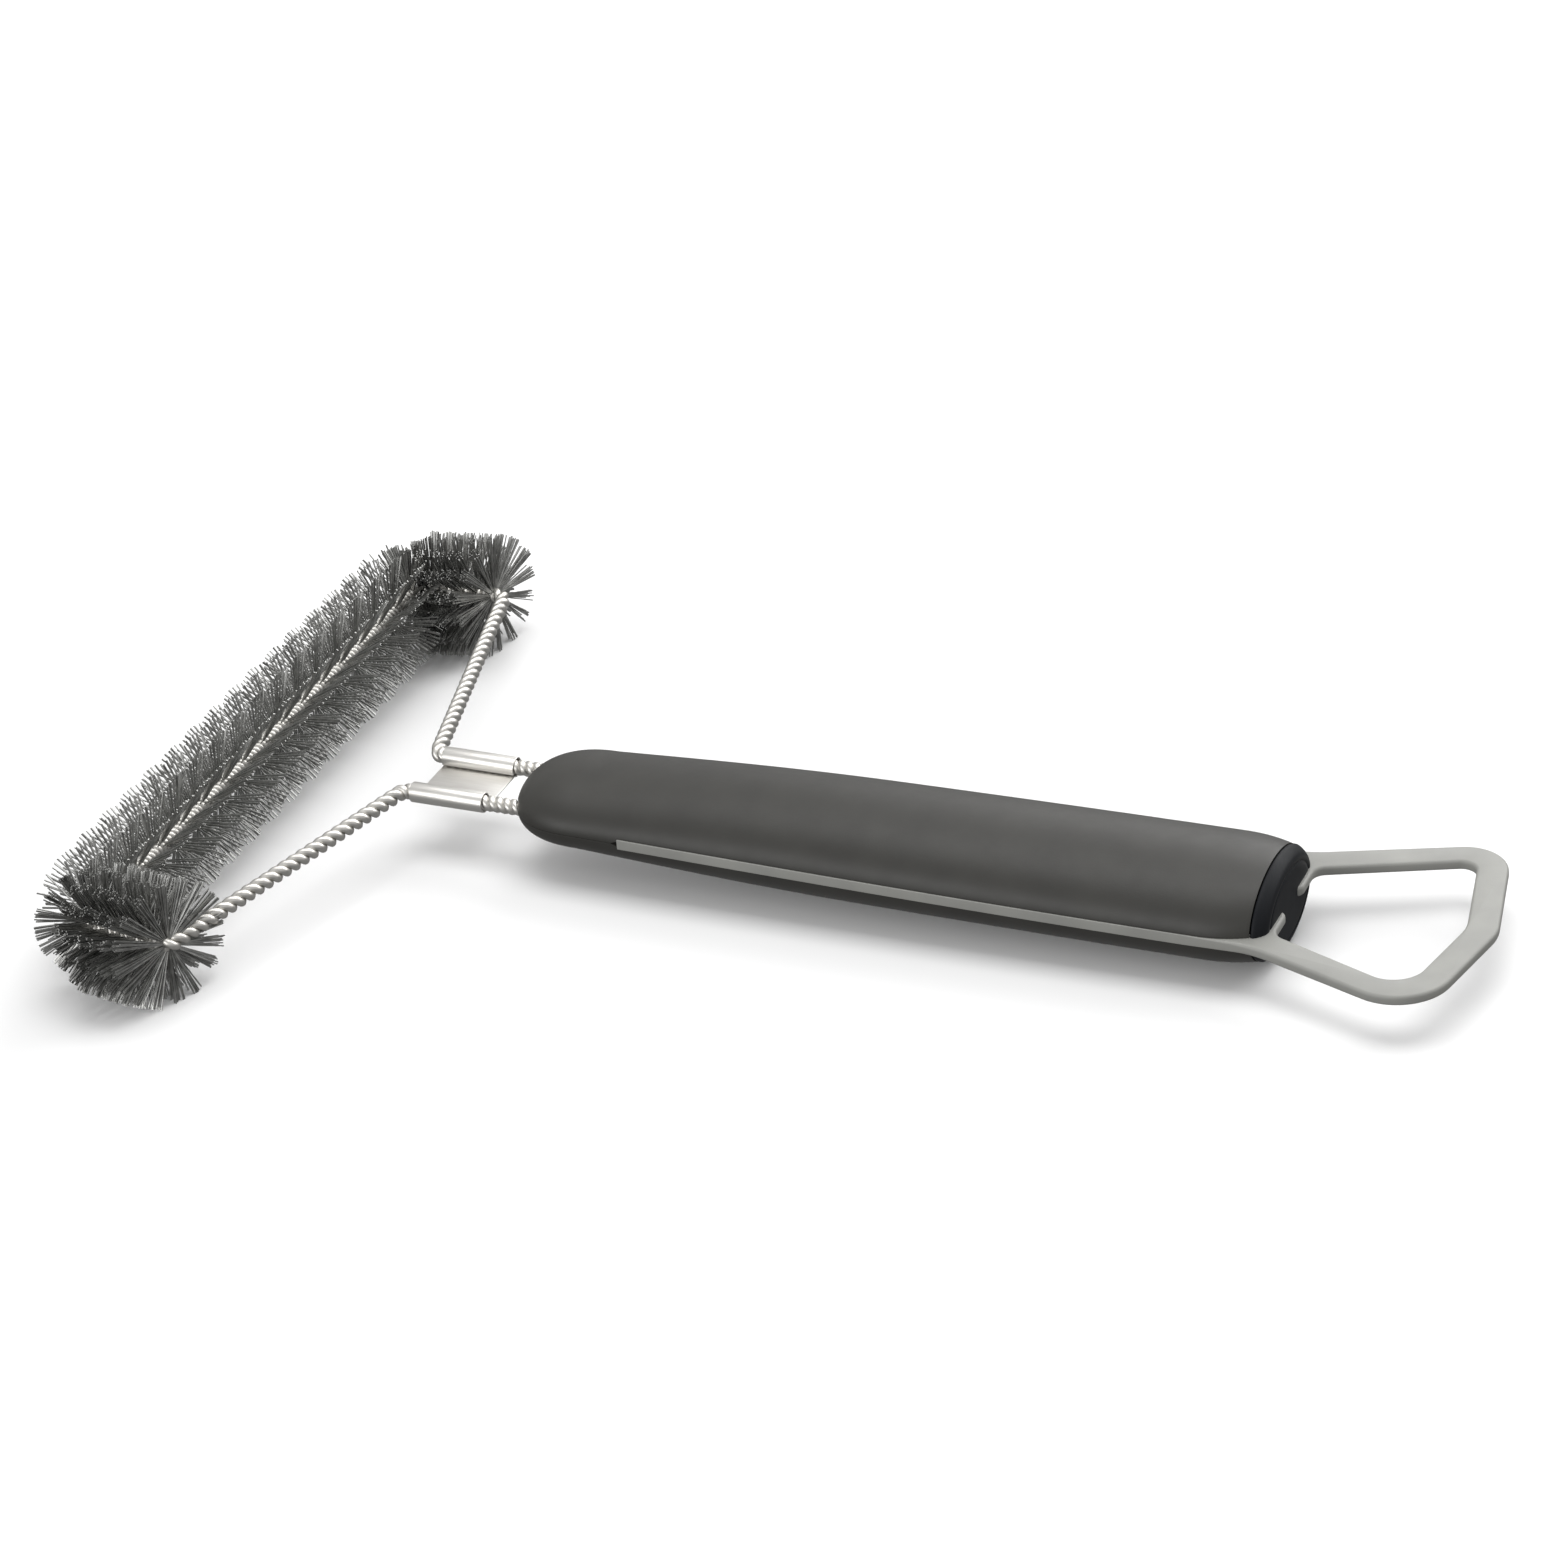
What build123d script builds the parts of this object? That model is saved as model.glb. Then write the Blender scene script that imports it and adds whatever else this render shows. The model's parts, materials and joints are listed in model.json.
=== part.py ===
from build123d import *

import os
from math import asin, cos, degrees, hypot, pi, radians, sin, sqrt, tan

# A short grill cleaning brush: a twisted wire head with bristles on three sides, held by a sheet
# steel clip in front of a two-shell plastic grip with a five-sided hanging loop.
#
# Every piece is first modelled in the brush's own frame, in millimetres: x = 0 at the clip's front,
# +X towards the hanging loop, +Y to the right, and z = 0 in the plane of the wire head, the grip's
# parting line and the loop. It is then tipped by a fraction of a degree, so that the brush rests on
# its bristles and on the rear of the grip, with its origin under the middle of its outline.

# ---- driving dimensions ----------------------------------------------------------------------

# twisted stem
WIRE_RADIUS = 0.94          # one of the two wires
WIRE_OFFSET = 0.96          # each wire's centre line from the stem's centre line
STEM_RADIUS = 1.9           # round the twisted pair
STEM_SPACING = 8.43         # each straight stem from the brush's middle
STEM_TAIL_END = 80.0        # where the stems end inside the grip

# head, as the corners of the stem's centre line on one side
CLIP_BEND_X = -2.4
ARM_END = (-21.9, 84.7)
FRONT_CORNER = (-45.0, 80.6)
CLIP_BEND_RADIUS = 3.0
ARM_END_RADIUS = 3.0
FRONT_CORNER_RADIUS = 5.0

# bristles, one tuft standing for a bundle of wires that passes through the stem
BRISTLE_RADIUS = 14.5
TUFT_PITCH = 2.2            # along the stem
TUFT_TURN = 36.0            # degrees from one tuft to the next
MIDDLE_TUFT_ANGLE = 90.0    # the tuft in the middle of the head stands upright
TUFT_THICKNESS = 0.7
TUFT_TIP_WIDTH = 3.4
TUFT_FOOT_WIDTH = 0.8
TUFT_COLLAR_RADIUS = 2.5
TUFT_COLLAR_LENGTH = 0.8
SHORTEST_FAN = 3.8
FIRST_TUFT = 3.6            # from the end of the bend at the arm
BAR_SECTIONS = 5

# clip
CLIP_LENGTH = 18.4
CLIP_TUBE_RADIUS = 2.35
CLIP_BORE_RADIUS = 1.93
CLIP_SHEET = 0.5
CLIP_SHEET_Z = -1.6

# grip
GRIP_FRONT = 25.0
NOSE_LENGTH = 18.0
NOSE_POWER = 2.4
GRIP_REAR = 204.0
SLIM_HALF_WIDTH = 16.8
FULL_HALF_WIDTH = 20.1
FULL_WIDTH_X = 190.0
SLIM_HALF_HEIGHT = 9.0
FULL_HALF_HEIGHT = 11.4
FULL_HEIGHT_X = 112.0
REAR_ROUNDING = 11.0        # length over which the rear of the grip rounds off
REAR_WIDTH_LOSS = 2.6
REAR_HEIGHT_LOSS = 0.5
WALL = 2.4
GRIP_STATIONS = [25.15, 25.7, 27, 29, 32, 36, 43, 56, 72, 90, 112, 140, 168, 190, 196, 200, 204]
CAVITY_STATIONS = [28.2, 29, 31, 34, 38, 43, 56, 72, 90, 112, 140, 168, 190, 196, 200, 204]
CAVITY_FRONT = 28.0

# hanging loop and its rails
INSERT_THICKNESS = 2.4
RAIL_DEPTH = 3.2            # how far a rail reaches into the grip
RAIL_PROUD = 0.15           # how far a rail stands out of the grip
RAIL_END = 198.0
RAIL_STATIONS = [55.6, 72, 90, 112, 140, 168, 190, 196, 198.5]
FINGER_WIDTH = 3.7
FINGER_END = 4.6            # each finger's tip from the middle
LOOP_OUTSIDE = [(190.0, 20.0), (205.0, 20.3), (246.5, 35.6)]
LOOP_OUTSIDE_TIP = 253.6
LOOP_OUTSIDE_RADII = [2.0, 25.0, 9.5]
LOOP_INSIDE = [(GRIP_REAR + FINGER_WIDTH, 14.2), (241.2, 26.9)]
LOOP_INSIDE_TIP = 246.6
LOOP_INSIDE_RADII = [3.5, 3.5]
LOOP_TIP_RADIUS = 14.0
LOOP_EDGE_RADIUS = 0.75

# rear cap
CAP_GAP = 0.2               # the groove between the shells and the cap
CAP_LENGTH = 3.2
CAP_BEVEL_WIDTH = 2.2
CAP_BEVEL_HEIGHT = 1.3
CAP_PLUG_FRONT = 194.0

# inside the grip
RIB_PLACES = [56.0, 84.0]
RIB_THICKNESS = 1.8
FERRULE_FRONT = 65.0
FERRULE_LENGTH = 12.0
FERRULE_RADIUS = 3.2
BLOCK_FRONT = 63.5
BLOCK_LENGTH = 15.0
BLOCK_HALF_WIDTH = 11.8
BLOCK_TOP = 4.2
BLOCK_GAP = 0.3
CLAMP_SCREW_PLACES = [67.4, 74.6]
CLAMP_SCREW_BOTTOM = -5.0
SHELL_SCREW_PLACES = [48.0, 112.0, 180.0]
SCREW_RADIUS = 1.4
CLEARANCE = 0.06            # round screws, sleeves and stems
SCREW_HEAD_RADIUS = 2.7
SCREW_HEAD_HEIGHT = 1.9
SHELL_SCREW_SEAT = -5.6
SHELL_SCREW_TOP = 5.0
BOSS_RADIUS = 4.0
RECESS_RADIUS = 3.1

BIG = 400.0                 # larger than the brush, for cutting shapes in half


# ---- the grip's outline ----------------------------------------------------------------------

def eased(x, start, end):
    """Rise from 0 at start to 1 at end, quickly at first, and stay at 1."""
    part = min(max((x - start) / (end - start), 0.0), 1.0)
    return sin(pi / 2 * part)


def nose_share(x, front):
    """Share of the full section that the blunt nose has reached at x."""
    back = GRIP_FRONT + NOSE_LENGTH
    if x >= back:
        return 1.0
    reach = (back - x) / (back - front)
    return (1 - reach ** NOSE_POWER) ** (1 / NOSE_POWER)


def rear_loss(x):
    """0 along the grip, rising to 1 where its rear end rounds off."""
    return max(x - (GRIP_REAR - REAR_ROUNDING), 0.0) ** 2 / REAR_ROUNDING ** 2


def half_width(x):
    nose_end = GRIP_FRONT + NOSE_LENGTH
    body = SLIM_HALF_WIDTH + (FULL_HALF_WIDTH - SLIM_HALF_WIDTH) * eased(x, nose_end, FULL_WIDTH_X)
    return body - REAR_WIDTH_LOSS * rear_loss(x)


def half_height(x):
    nose_end = GRIP_FRONT + NOSE_LENGTH
    body = SLIM_HALF_HEIGHT + (FULL_HALF_HEIGHT - SLIM_HALF_HEIGHT) * eased(x, nose_end, FULL_HEIGHT_X)
    return body - REAR_HEIGHT_LOSS * rear_loss(x)


def grip_section(x, inset=0.0, front=GRIP_FRONT):
    """The grip's oval section at x, drawn in from the outside by inset."""
    share = nose_share(x, front)
    oval = Ellipse((half_width(x) - inset) * share, (half_height(x) - inset) * share)
    return Plane((x, 0, 0), x_dir=(0, 1, 0), z_dir=(1, 0, 0)) * oval


def grip_outside():
    return loft([grip_section(x) for x in GRIP_STATIONS])


def grip_cavity():
    return loft([grip_section(x, WALL, CAVITY_FRONT) for x in CAVITY_STATIONS])


# ---- small helpers ---------------------------------------------------------------------------

def rod(radius, start, end, y=0.0, z=0.0):
    """A round bar along X."""
    plane = Plane((start, y, z), x_dir=(0, 1, 0), z_dir=(1, 0, 0))
    return plane * Cylinder(radius, end - start, align=(Align.CENTER, Align.CENTER, Align.MIN))


def post(radius, x, bottom, top, y=0.0):
    """A round bar along Z."""
    bar = Cylinder(radius, top - bottom, align=(Align.CENTER, Align.CENTER, Align.MIN))
    return Pos(x, y, bottom) * bar


def block(x_range, y_range, z_range):
    """A box between three pairs of limits."""
    lows, highs = zip(x_range, y_range, z_range)
    sizes = [high - low for low, high in zip(lows, highs)]
    return Pos(*lows) * Box(*sizes, align=(Align.MIN, Align.MIN, Align.MIN))


def upper_half():
    return block((-BIG, BIG), (-BIG, BIG), (0, BIG))


def lower_half():
    return block((-BIG, BIG), (-BIG, BIG), (-BIG, 0))


def mirrored_outline(points, tip, radii, tip_radius):
    """A face whose corners are points, a tip on the middle line, and the points' mirror images."""
    far_side = [(x, -y) for x, y in reversed(points)]
    corners = points + [(tip, 0)] + far_side
    fillets = radii + [tip_radius] + list(reversed(radii))
    return make_face(FilletPolyline(*corners, radius=fillets, close=True))


# ---- stem ------------------------------------------------------------------------------------

def stem_corners():
    """Corners of the stem's centre line, from one tail, round the head, to the other tail."""
    half = [
        (STEM_TAIL_END, STEM_SPACING),
        (CLIP_BEND_X, STEM_SPACING),
        ARM_END,
        FRONT_CORNER,
    ]
    left = [(x, -y) for x, y in half]
    return left + list(reversed(half))


def stem_wire(height):
    """One wire of the stem, drawn beside its partner: it lies at a constant height."""
    half_radii = [CLIP_BEND_RADIUS, ARM_END_RADIUS, FRONT_CORNER_RADIUS]
    route = FilletPolyline(*stem_corners(), radius=half_radii + half_radii[::-1])
    start = Plane(origin=route @ 0, z_dir=route % 0)
    wire = sweep(start * Circle(WIRE_RADIUS), path=route)
    return Pos(0, 0, height) * wire


# ---- bristles --------------------------------------------------------------------------------

def bend_allowance(before, corner, after, radius):
    """Length of straight stem that a corner's arc takes from each of its two sides."""
    first = Vector(*before) - Vector(*corner)
    second = Vector(*after) - Vector(*corner)
    return radius / tan(radians(first.get_angle(second)) / 2)


def mirror_y(point):
    return (point[0], -point[1])


def bristle_path():
    """The bristled part of the stem: a leg, the front bar and the other leg."""
    clip_bend = (CLIP_BEND_X, STEM_SPACING)
    taken = bend_allowance(clip_bend, ARM_END, FRONT_CORNER, ARM_END_RADIUS)
    leg = Vector(*FRONT_CORNER) - Vector(*ARM_END)
    start = Vector(*ARM_END) + leg.normalized() * (taken + FIRST_TUFT)
    right = [(start.X, start.Y), FRONT_CORNER]
    left = [mirror_y(point) for point in right]
    return FilletPolyline(*(left + right[::-1]), radius=FRONT_CORNER_RADIUS)


def inner_room(spot, along):
    """How far bristles at a spot may reach towards the inside of the head, clear of its corners."""
    side = 1 if spot.Y > 0 else -1
    corner = Vector(FRONT_CORNER[0], side * FRONT_CORNER[1])
    arm_end = Vector(ARM_END[0], side * ARM_END[1])
    clip_bend = Vector(CLIP_BEND_X, side * STEM_SPACING)
    across = Vector(corner.X, -corner.Y)
    half_tip = TUFT_TIP_WIDTH / 2
    corner_half_angle = (arm_end - corner).get_angle(across - corner) / 2
    room = ((spot - corner).length - half_tip) * tan(radians(corner_half_angle)) - TUFT_THICKNESS
    if abs(along.X) > abs(along.Y):
        arm_half_angle = (corner - arm_end).get_angle(clip_bend - arm_end) / 2
        by_arm = ((spot - arm_end).length - half_tip) * tan(radians(arm_half_angle)) - STEM_RADIUS
        room = min(room, by_arm)
    return room


def fan_length(spot, along, inward, angle):
    """Length of one fan, shorter where it would run into the bristles round the corner."""
    towards_inside = cos(radians(angle)) * inward
    if towards_inside < 0.05:
        return BRISTLE_RADIUS
    in_corner = min(abs(along.X), abs(along.Y)) > 0.25
    room = 0.0 if in_corner else inner_room(spot, along)
    return min(BRISTLE_RADIUS, room / towards_inside)


def fan(length):
    """A flat fan of bristles that widens outwards along local X; its width lies along local Z."""
    foot = (TUFT_COLLAR_RADIUS + STEM_RADIUS) / 2
    foot_half = TUFT_FOOT_WIDTH / 2
    tip_half = foot_half + (TUFT_TIP_WIDTH - TUFT_FOOT_WIDTH) / 2 * length / BRISTLE_RADIUS
    outline = make_face(Polyline((foot, -foot_half), (length, -tip_half), (length, tip_half),
                                 (foot, foot_half), close=True))
    flat = extrude(outline, TUFT_THICKNESS / 2, both=True)
    return Rot(90, 0, 0) * flat


def tuft(spot, along, angle):
    """One tuft: two opposite fans joined by a thin collar round the stem."""
    inside = Vector(1, 0) if abs(along.Y) > abs(along.X) else Vector(0, -spot.Y)
    frame = Plane(origin=spot, x_dir=Vector(-along.Y, along.X), z_dir=along)
    inward = 1 if frame.x_dir.dot(inside) > 0 else -1
    collar = Cylinder(TUFT_COLLAR_RADIUS, TUFT_COLLAR_LENGTH)
    collar -= Cylinder(STEM_RADIUS + CLEARANCE, TUFT_COLLAR_LENGTH)
    shape = collar
    for turn in (angle, angle + 180):
        length = fan_length(spot, along, inward, turn)
        if length >= SHORTEST_FAN:
            shape += Rot(0, 0, turn) * fan(length)
    return frame * shape


def bristle_sections():
    """All tufts along the head, sorted into named sections."""
    path = bristle_path()
    each_way = int(path.length / 2 // TUFT_PITCH)
    sections = {}
    for step in range(-each_way, each_way + 1):
        distance = path.length / 2 + step * TUFT_PITCH
        spot = path.position_at(distance, position_mode=PositionMode.LENGTH)
        along = path.tangent_at(distance, position_mode=PositionMode.LENGTH)
        angle = MIDDLE_TUFT_ANGLE + step * TUFT_TURN
        sections.setdefault(section_name(spot, along), []).append(tuft(spot, along, angle))
    return {name: Compound(children=tufts) for name, tufts in sections.items()}


def section_name(spot, along):
    side = "right" if spot.Y > 0 else "left"
    if min(abs(along.X), abs(along.Y)) > 0.25:
        return f"bristles_{side}_corner"
    if abs(along.X) > abs(along.Y):
        return f"bristles_{side}_leg"
    half_bar = FRONT_CORNER[1]
    number = int((spot.Y + half_bar) / (2 * half_bar) * BAR_SECTIONS) + 1
    return f"bristles_bar_{number}"


# ---- clip ------------------------------------------------------------------------------------

def bracket_clip():
    """A sheet with both edges rolled into tubes round the stems."""
    reach = STEM_SPACING - sqrt(CLIP_TUBE_RADIUS ** 2 - CLIP_SHEET_Z ** 2) + 0.1
    heights = (CLIP_SHEET_Z - CLIP_SHEET / 2, CLIP_SHEET_Z + CLIP_SHEET / 2)
    clip = block((0, CLIP_LENGTH), (-reach, reach), heights)
    for y in (-STEM_SPACING, STEM_SPACING):
        clip += rod(CLIP_TUBE_RADIUS, 0, CLIP_LENGTH, y)
    for y in (-STEM_SPACING, STEM_SPACING):
        clip -= rod(CLIP_BORE_RADIUS, -1, CLIP_LENGTH + 1, y)
    return clip


# ---- hanging loop ----------------------------------------------------------------------------

def rail(side):
    """One side rail: it follows the grip's side from its front tip to the root of the loop."""
    outer = [(x, side * (half_width(x) + RAIL_PROUD)) for x in RAIL_STATIONS]
    inner = [(x, side * (half_width(x) - RAIL_DEPTH)) for x in RAIL_STATIONS]
    edges = [Spline(*outer), Line(outer[-1], inner[-1]), Spline(*inner[::-1]), Line(inner[0], outer[0])]
    return slab(make_face(edges))


def slab(outline):
    """An outline in plan as a plate of the insert's thickness."""
    return Pos(0, 0, -INSERT_THICKNESS / 2) * extrude(outline, INSERT_THICKNESS)


def rounded_ring():
    """The five-sided ring with round edges, closed across the grip's rear."""
    outside = mirrored_outline(LOOP_OUTSIDE, LOOP_OUTSIDE_TIP, LOOP_OUTSIDE_RADII, LOOP_TIP_RADIUS)
    inside = mirrored_outline(LOOP_INSIDE, LOOP_INSIDE_TIP, LOOP_INSIDE_RADII, LOOP_TIP_RADIUS)
    ring = slab(outside - inside)
    long_edges = [edge for edge in ring.edges() if edge.bounding_box().size.Z < LOOP_EDGE_RADIUS]
    return fillet(long_edges, LOOP_EDGE_RADIUS)


def hang_loop_insert():
    """The light grey moulding: side rails, rear fingers and the five-sided loop."""
    finger_radius = FINGER_WIDTH / 2
    tip = FINGER_END + finger_radius
    half_thickness = INSERT_THICKNESS / 2
    heights = (-half_thickness, half_thickness)
    rail_inside = half_width(RAIL_END) - RAIL_DEPTH
    insert = rounded_ring()
    insert -= block((0, RAIL_END), (-BIG, BIG), heights)
    insert -= block((0, GRIP_REAR), (-rail_inside, rail_inside), heights)
    insert -= block((0, GRIP_REAR + FINGER_WIDTH + 0.5), (-tip, tip), heights)
    for side in (-1, 1):
        insert += rail(side)
        insert += post(finger_radius, GRIP_REAR + finger_radius, *heights, side * tip)
    return insert


# ---- grip ------------------------------------------------------------------------------------

def stem_tunnels():
    """The space of both stems inside the grip, for cutting."""
    radius = STEM_RADIUS + CLEARANCE
    left = rod(radius, GRIP_FRONT - 5, STEM_TAIL_END + 1, -STEM_SPACING)
    return left + rod(radius, GRIP_FRONT - 5, STEM_TAIL_END + 1, STEM_SPACING)


def ferrule_seats():
    """The space of both crimped sleeves, for cutting."""
    radius = FERRULE_RADIUS + CLEARANCE
    front = FERRULE_FRONT - CLEARANCE
    end = FERRULE_FRONT + FERRULE_LENGTH + CLEARANCE
    return rod(radius, front, end, -STEM_SPACING) + rod(radius, front, end, STEM_SPACING)


def screw_hole(x, bottom, top):
    return post(SCREW_RADIUS + CLEARANCE, x, bottom, top)


def grip_shell(outside, cavity, insert, half):
    """One hollow half of the grip, with the pocket for the rails cut out."""
    shell = (outside - cavity) & half
    for place in RIB_PLACES:
        rib = block((place, place + RIB_THICKNESS), (-BIG, BIG), (-BIG, BIG))
        shell += rib & cavity & half
    return shell - insert


def screw_boss(x, outside, half):
    return post(BOSS_RADIUS, x, -BIG / 2, BIG / 2) & outside & half


def handle_top_shell(outside, cavity, insert):
    half = upper_half()
    shell = grip_shell(outside, cavity, insert, half)
    for x in SHELL_SCREW_PLACES:
        shell += screw_boss(x, outside, half)
        shell -= screw_hole(x, -1, SHELL_SCREW_TOP)
    return shell - stem_tunnels()


def handle_bottom_shell(outside, cavity, insert):
    half = lower_half()
    shell = grip_shell(outside, cavity, insert, half)
    for x in SHELL_SCREW_PLACES:
        shell += screw_boss(x, outside, half)
        shell -= screw_hole(x, SHELL_SCREW_SEAT - 1, 1)
        shell -= post(RECESS_RADIUS, x, -BIG / 2, SHELL_SCREW_SEAT)
    saddle_length = (BLOCK_FRONT, BLOCK_FRONT + BLOCK_LENGTH)
    saddle = block(saddle_length, (-BLOCK_HALF_WIDTH, BLOCK_HALF_WIDTH), (-BIG, -BLOCK_GAP))
    shell += saddle & cavity
    for x in CLAMP_SCREW_PLACES:
        shell -= screw_hole(x, CLAMP_SCREW_BOTTOM, 1)
    return shell - ferrule_seats() - stem_tunnels()


def rear_cap(insert):
    """The bevelled plug that closes the grip behind the two shells."""
    front = GRIP_REAR + CAP_GAP
    rear = front + CAP_LENGTH
    width = half_width(GRIP_REAR)
    height = half_height(GRIP_REAR)
    rim = Plane((front, 0, 0), x_dir=(0, 1, 0), z_dir=(1, 0, 0)) * Ellipse(width, height)
    face = Plane((rear, 0, 0), x_dir=(0, 1, 0), z_dir=(1, 0, 0)) * Ellipse(
        width - CAP_BEVEL_WIDTH, height - CAP_BEVEL_HEIGHT)
    flange = loft([rim, face])
    plug = extrude(grip_section(CAP_PLUG_FRONT, WALL + REAR_WIDTH_LOSS), front - CAP_PLUG_FRONT)
    hollow = extrude(grip_section(CAP_PLUG_FRONT, 2 * WALL + REAR_WIDTH_LOSS), front - CAP_PLUG_FRONT - 1)
    return flange + (plug - hollow) - insert


# ---- parts inside the grip -------------------------------------------------------------------

def wire_ferrules():
    """A crimped sleeve on each stem's tail."""
    end = FERRULE_FRONT + FERRULE_LENGTH
    sleeves = []
    for y in (-STEM_SPACING, STEM_SPACING):
        outside = rod(FERRULE_RADIUS, FERRULE_FRONT, end, y)
        sleeves.append(outside - rod(STEM_RADIUS + CLEARANCE / 2, FERRULE_FRONT - 1, end + 1, y))
    return Compound(children=sleeves)


def wire_clamp_block():
    """The bar that presses both ferrules down onto the bottom shell."""
    end = BLOCK_FRONT + BLOCK_LENGTH
    bar = block((BLOCK_FRONT, end), (-BLOCK_HALF_WIDTH, BLOCK_HALF_WIDTH), (0, BLOCK_TOP))
    bar -= ferrule_seats() + stem_tunnels()
    for x in CLAMP_SCREW_PLACES:
        bar -= screw_hole(x, -1, BLOCK_TOP + 1)
    return bar


def clamp_block_screws():
    """Pan-head screws from above, through the block into the bottom shell."""
    screws = []
    for x in CLAMP_SCREW_PLACES:
        shank = post(SCREW_RADIUS, x, CLAMP_SCREW_BOTTOM + 0.5, BLOCK_TOP)
        screws.append(shank + post(SCREW_HEAD_RADIUS, x, BLOCK_TOP, BLOCK_TOP + SCREW_HEAD_HEIGHT))
    return Compound(children=screws)


def shell_screws():
    """Pan-head screws from underneath, through the bottom shell into the top shell."""
    screws = []
    for x in SHELL_SCREW_PLACES:
        shank = post(SCREW_RADIUS, x, SHELL_SCREW_SEAT, SHELL_SCREW_TOP - 0.5)
        head = post(SCREW_HEAD_RADIUS, x, SHELL_SCREW_SEAT - SCREW_HEAD_HEIGHT, SHELL_SCREW_SEAT)
        screws.append(shank + head)
    return Compound(children=screws)


# ---- the whole brush -------------------------------------------------------------------------

def rest_tilt():
    """Angle in degrees that lowers the rear of the grip onto the surface the bristles stand on."""
    front_x = ARM_END[0] - FIRST_TUFT
    rear_x = FULL_WIDTH_X
    run = hypot(rear_x - front_x, BRISTLE_RADIUS)
    return degrees(asin((BRISTLE_RADIUS - half_height(rear_x)) / run))


def build_parts():
    outside = grip_outside()
    cavity = grip_cavity()
    insert = hang_loop_insert()
    parts = {
        "handle_top_shell": handle_top_shell(outside, cavity, insert),
        "handle_bottom_shell": handle_bottom_shell(outside, cavity, insert),
        "rear_cap": rear_cap(insert),
        "hang_loop_insert": insert,
        "stem_wire_a": stem_wire(WIRE_OFFSET),
        "stem_wire_b": stem_wire(-WIRE_OFFSET),
        "bracket_clip": bracket_clip(),
        "wire_ferrules": wire_ferrules(),
        "wire_clamp_block": wire_clamp_block(),
        "clamp_block_screws": clamp_block_screws(),
        "shell_screws": shell_screws(),
    }
    parts.update(bristle_sections())
    return parts


def placed_to_rest(parts):
    """Tip every part to its resting angle and put the origin under the middle of the brush."""
    tipped = {name: Rot(0, rest_tilt(), 0) * shape for name, shape in parts.items()}
    boxes = [shape.bounding_box() for shape in tipped.values()]
    low = [min(tuple(box.min)[axis] for box in boxes) for axis in range(3)]
    high = [max(tuple(box.max)[axis] for box in boxes) for axis in range(3)]
    shift = Pos(-(low[0] + high[0]) / 2, -(low[1] + high[1]) / 2, -low[2])
    return {name: shift * shape for name, shape in tipped.items()}


def main():
    os.makedirs("parts", exist_ok=True)
    for name, shape in placed_to_rest(build_parts()).items():
        export_step(shape, f"parts/{name}.step")


main()
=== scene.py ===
# A grill cleaning brush: the looks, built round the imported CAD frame.
#
# Lengths are in millimetres in the brush's own frame, as in the CAD: x = 0 at the clip's front, +X
# towards the hanging loop, +Y to the right, z = 0 in the plane of the wire head and the loop. The
# matrix PLACE turns them into the row's frame, in metres.

import json
import math
import random

import bmesh
import bpy
from mathutils import Matrix, Vector


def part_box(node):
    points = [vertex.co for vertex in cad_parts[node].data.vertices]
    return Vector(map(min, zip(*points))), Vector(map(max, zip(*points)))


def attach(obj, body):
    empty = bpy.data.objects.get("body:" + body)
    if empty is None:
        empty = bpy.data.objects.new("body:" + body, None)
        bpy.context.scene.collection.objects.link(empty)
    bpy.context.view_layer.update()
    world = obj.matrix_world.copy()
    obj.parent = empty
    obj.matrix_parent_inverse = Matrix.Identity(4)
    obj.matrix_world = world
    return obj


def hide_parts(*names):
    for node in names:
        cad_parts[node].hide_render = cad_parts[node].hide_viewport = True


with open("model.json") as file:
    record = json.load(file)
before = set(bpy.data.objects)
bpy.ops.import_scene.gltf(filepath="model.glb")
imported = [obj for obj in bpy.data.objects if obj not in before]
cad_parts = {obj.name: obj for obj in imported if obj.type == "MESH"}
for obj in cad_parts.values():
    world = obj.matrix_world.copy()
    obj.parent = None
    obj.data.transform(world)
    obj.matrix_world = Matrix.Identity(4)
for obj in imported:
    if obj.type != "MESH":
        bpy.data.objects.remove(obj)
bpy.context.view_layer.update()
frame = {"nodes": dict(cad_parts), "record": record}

MM = 0.001

# ---- driving dimensions, as in the CAD ---------------------------------------------------------

STEM_SPACING = 8.43         # from the middle plane to each straight end of the stem
STEM_TAIL_END = 80.0
CLIP_BEND = (-2.4, STEM_SPACING)
ARM_END = (-21.9, 84.7)
FRONT_CORNER = (-45.0, 80.6)
CLIP_BEND_RADIUS = 3.0
ARM_END_RADIUS = 3.0
FRONT_CORNER_RADIUS = 5.0
BRISTLE_RADIUS = 14.5
FIRST_TUFT = 3.6            # from the end of the bend at the arm
BAR_SECTIONS = 5

CLIP_LENGTH = 18.4
CLIP_SHEET_Z = -1.6

GRIP_FRONT = 25.0
NOSE_LENGTH = 18.0
NOSE_POWER = 2.4
NOSE_END = GRIP_FRONT + NOSE_LENGTH
GRIP_REAR = 204.0
SLIM_HALF_WIDTH = 16.8
FULL_HALF_WIDTH = 20.1
FULL_WIDTH_X = 190.0
FULL_HALF_HEIGHT = 11.4
FULL_HEIGHT_X = 112.0
REAR_ROUNDING = 11.0
REAR_WIDTH_LOSS = 2.6
REAR_HEIGHT_LOSS = 0.5
WALL = 2.4

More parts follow.
